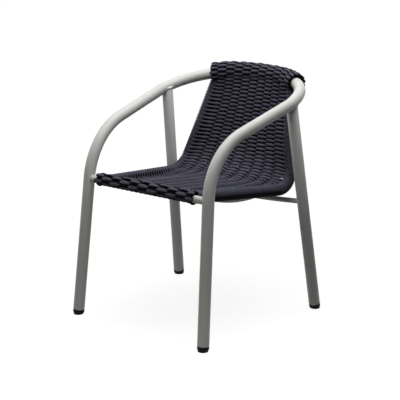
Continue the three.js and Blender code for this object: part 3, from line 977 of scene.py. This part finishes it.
THICK_ROW = {"middle": 16.2, "lean": 0, "wave": 3.7, "narrow": 3.2, "wide": 7.3,
             "thick": 4.4, "pressed": 3.0}
LOW_ROW = {"middle": 13.2, "lean": 0, "wave": 1.2, "narrow": 3.0, "wide": 5.6,
           "thick": 3.2, "pressed": 2.4}
TOP_ROW = {"middle": 26.3, "lean": 0.016, "wave": 3.5, "narrow": 2.7, "wide": 5.9,
           "thick": 4.2, "pressed": 3.0}
WRAP_POWER = 0.6
KNOB = 3.5
KNOB_REACH = 0.4
KNOB_HEIGHTS = (0.85, -0.3)
KNOB_SWELL = 0.75
WRAP_SLIP = 0.5
LOOP_STEPS = 32
# The loops lie under the rows, and this crest gives them the rope's painted shade
LOOP_SHADE_CREST = 0.3

FRONT_ENDS = (-187, 181)
FRONT_PITCH = 36.4
FRONT_ANGLES = (-37, -7, 23, 52, 82, 108)
FRONT_LOW_REACH = 5
FRONT_SLEEVE_END = 182
FRONT_SLEEVE_RADIUS = 12.2
FRONT_LOOP = {"radius": 13.0, "wide": 2.3, "thick": 2.1, "sides": 7}
FRONT_LOOP_SIDE = 2.4
FRONT_LOOP_RISE = 1.5
FRONT_RISE_FROM = math.radians(55)
FRONT_END_LOOP = {"radius": 14.6, "wide": 3.6, "thick": 3.5, "sides": 9}

TOP_ENDS = (-165, 168)
TOP_PITCH = 31.8
TOP_ROWS = 26
TOP_STEP = 360 / 27
TOP_START = -4
TOP_UPPER_INSET = 9
TOP_SLEEVE_RADIUS = 20.5
TOP_LOOP = {"radius": 23.6, "wide": 2.0, "thick": 2.0, "sides": 6}
TOP_END_LOOP = {"radius": 21.6, "wide": 3.6, "thick": 3.6, "sides": 9}

TOP = HOOP[HOOP[:, 1] > ARM_REAR[1]]
TOP = TOP[np.argsort(TOP[:, 0])]
PLANE_UP = unit(vec(0, -SLOPE, 1))


def wrap_row(batch, axis_at, angle, ends, pitch, parity,
             middle, lean, wave, narrow, wide, thick, pressed):
    """One row along a tube, over and under its warps, with a knob at each end.

    axis_at gives the tube's axis point with its front and up directions at a distance x.
    """
    over = np.cos(np.pi * (np.array(ends) / pitch + parity)) > 0
    start, end = np.array(ends) + np.where(over, KNOB, -KNOB) * vec(-1, 1)
    count = math.ceil((end - start) / pitch * COLUMN_STEPS)
    x = np.linspace(start, end, count + 1)
    phase = blunt(np.cos(np.pi * (x / pitch + parity)), WRAP_POWER)
    near = 1 - smooth(np.minimum(x - start, end - x), 0, KNOB_REACH * pitch)
    height = phase + (np.where(phase > 0, *KNOB_HEIGHTS) - phase) * near
    axis, front, up = axis_at(x)
    spoke = front * math.cos(angle) + up * math.sin(angle)
    swell = np.maximum(np.abs(phase) ** SWELL_POWER, KNOB_SWELL * near)
    # crest also sets the rope's painted shade, darker where the row passes under
    crest = 0.5 + 0.5 * height
    slip = WRAP_SLIP * (RNG.random() - 0.5)
    points = axis + spoke * (middle - lean * x + wave * height + slip)[:, None]
    batch.strand(points, spoke, narrow + (wide - narrow) * swell,
                 pressed + (thick - pressed) * crest, sides=10, crest=crest, seed=RNG.random())


def loop(batch, axis_at, x, radius, wide, thick, sides, rise=None):
    """A ring of rope round a tube, its radius raised by rise of the angle."""
    angle = circle(LOOP_STEPS)
    axis, front, up = axis_at(np.full(LOOP_STEPS, x, float))
    spoke = spokes(angle, front, up)
    lifted = radius + (rise(angle) if rise else np.zeros(LOOP_STEPS))
    batch.strand(axis + spoke * lifted[:, None], spoke, wide, thick, sides, closed=True,
                 crest=LOOP_SHADE_CREST, seed=RNG.random())


def front_axis(x):
    axis = np.stack([x, np.full_like(x, FRONT[1]), np.full_like(x, FRONT[2])], -1)
    forward = np.broadcast_to(vec(0, -1, 0), axis.shape)
    return axis, forward, np.broadcast_to(vec(0, 0, 1), axis.shape)


def front_rise(angle):
    """How far a loop of the front bar is lifted by the warp that comes over the bar."""
    return FRONT_LOOP_RISE * smooth(np.cos(angle - FRONT_RISE_FROM), -0.35, 0.35)


def front_wrap():
    """Rows over the front bar, at degrees from straight up to the front, and the warps' loops."""
    wrap = Batch()
    for j, angle in enumerate(FRONT_ANGLES):
        ends = (FRONT_ENDS[0], FRONT_ENDS[1] + FRONT_LOW_REACH * smooth(angle, 30, 80))
        wrap_row(wrap, front_axis, math.radians(90 - angle), ends, FRONT_PITCH, 1 + j,
                 **(LOW_ROW if angle > 90 else THICK_ROW))
    wrap.piece("front_rows", "rope", "front_bar_wrap", sharp=0)
    base = Batch()
    sleeve = vec(-FRONT_SLEEVE_END, FRONT_SLEEVE_END)
    # The sleeve lies under the rows and gets the rope's darkest painted shade
    base.tube(front_axis(sleeve)[0], FRONT_SLEEVE_RADIUS, sides=28, crest=0.0)
    for half in range(-9, 10):
        for side in (-FRONT_LOOP_SIDE, FRONT_LOOP_SIDE):
            loop(base, front_axis, half * FRONT_PITCH / 2 + side, **FRONT_LOOP,
                 rise=front_rise if half % 2 == 0 else None)
    for x in (FRONT_ENDS[0] + 2, FRONT_ENDS[1] - 2):
        loop(base, front_axis, x, **FRONT_END_LOOP, rise=front_rise)
    base.piece("front_loops", "rope", "front_bar_wrap", sharp=0)


def top_point(x):
    return np.stack([x, np.interp(x, TOP[:, 0], TOP[:, 1]), np.interp(x, TOP[:, 0], TOP[:, 2])],
                    -1)


def top_axis(x):
    along = unit(top_point(x + 4) - top_point(x - 4))
    front = unit(np.cross(along, PLANE_UP))
    front = front * np.sign(-front[..., 1:2])
    return top_point(x), front, np.broadcast_to(PLANE_UP, front.shape)


def top_wrap():
    """Rows round the top rail, on a sleeve with the warps' loops."""
    wrap = Batch()
    for j in range(TOP_ROWS):
        angle = math.radians(j * TOP_STEP + TOP_START)
        ends = (TOP_ENDS[0] + TOP_UPPER_INSET * max(0, math.sin(angle)) ** 2, TOP_ENDS[1])
        wrap_row(wrap, top_axis, angle, ends, TOP_PITCH, LAST_ROW + 1 + j, **TOP_ROW)
    wrap.piece("top_rows", "rope", "top_rail_wrap", sharp=0)
    base = Batch()
    sleeve = np.linspace(TOP_ENDS[0] + 2, TOP_ENDS[1] - 2, 60)
    # The sleeve lies under the rows and gets the rope's darkest painted shade
    base.tube(top_point(sleeve), TOP_SLEEVE_RADIUS, sides=32, crest=0.0)
    for column in range(-5, 6):
        loop(base, top_axis, column * TOP_PITCH, **TOP_LOOP)
    for x in (TOP_ENDS[0] + 1, TOP_ENDS[1] - 1):
        loop(base, top_axis, x, **TOP_END_LOOP)
    base.piece("top_loops", "rope", "top_rail_wrap", sharp=0)


weave_rows()
weave_warps()
for hand, side in HANDS:
    rail_coil(hand, side)
front_wrap()
top_wrap()


# Floor, light and background

FLOOR_SIZE = 40
FLOOR_BOUNCE = (0.10, 0.10, 0.098, 1)
WHITE = (1, 1, 1, 1)
FILL = (1.0, 0.97, 0.93, 1)
FILL_STRENGTH = 0.03
SPOT_COLOUR = (1.0, 0.965, 0.92)


def floor():
    """A pale floor that keeps the chair's soft shadow and is white further off."""
    n = material_nodes("floor")
    place = n.new("TexCoord").outputs["Object"]
    away = n.new("VectorMath", {0: place}, operation="LENGTH").outputs["Value"]
    tone = n.ramp(n.noise(scale=3, detail=2), (0.3, grey(0.29)), (0.7, grey(0.31)))
    base = n.new("BsdfDiffuse", {"Color": tone})
    strength = n.fade(away, 0.6, 2.4, 0.90, 1.0, kind="LINEAR")
    glow = n.new("Emission", {"Color": WHITE, "Strength": strength})
    both = n.new("AddShader", {0: base.outputs[0], 1: glow.outputs[0]})
    dim = n.new("BsdfDiffuse", {"Color": FLOOR_BOUNCE})
    mesh = bpy.data.meshes.new("floor")
    corners = [(-1, -1), (1, -1), (1, 1), (-1, 1)]
    mesh.from_pydata([(x * FLOOR_SIZE, y * FLOOR_SIZE, 0) for x, y in corners], [],
                     [(0, 1, 2, 3)])
    mesh.materials.append(n.finish(n.new("MixShader", {
        0: n.seen(), 1: dim.outputs[0], 2: both.outputs[0],
    })))
    plane = bpy.data.objects.new("floor", mesh)
    add(plane)


def world():
    """White where it is seen, and a faint warm fill as light."""
    n = Nodes(bpy.data.worlds.new("world"), "OutputWorld")
    fill = n.new("Background", {"Color": FILL, "Strength": FILL_STRENGTH})
    white = n.new("Background", {"Color": WHITE})
    bpy.context.scene.world = n.finish(n.new("MixShader", {
        0: n.seen(), 1: fill.outputs[0], 2: white.outputs[0],
    }))


def place_light(data, power, location, target):
    data.energy = power
    light = bpy.data.objects.new(data.name, data)
    light.location = location
    aim = Vector(target) - Vector(location)
    light.rotation_euler = aim.to_track_quat("-Z", "Y").to_euler()
    add(light)


def area_light(name, power, location, size):
    data = bpy.data.lights.new(name, "AREA")
    data.shape = "DISK"
    data.size = size
    place_light(data, power, location, (0, 0, 0.45))


def spot_light(name, power, location, target, cone):
    """A soft low light on the legs, like the glow of a bright floor."""
    data = bpy.data.lights.new(name, "SPOT")
    data.spot_size = math.radians(cone)
    data.spot_blend = 1.0
    data.shadow_soft_size = 0.4
    data.color = SPOT_COLOUR
    place_light(data, power, location, target)


floor()
world()
area_light("key", 27.5, (0.08, -0.05, 2.05), size=1.8)
area_light("left", 2.5, (-1.6, -0.6, 1.1), size=0.8)
spot_light("low", 50, (1.5, -2.2, 0.35), (0, 0, -0.25), cone=24)
spot_light("low_left", 75, (1.5, -2.2, 0.5), (-0.25, -0.3, 0.22), cone=13)
bpy.context.scene.view_settings.view_transform = "Standard"
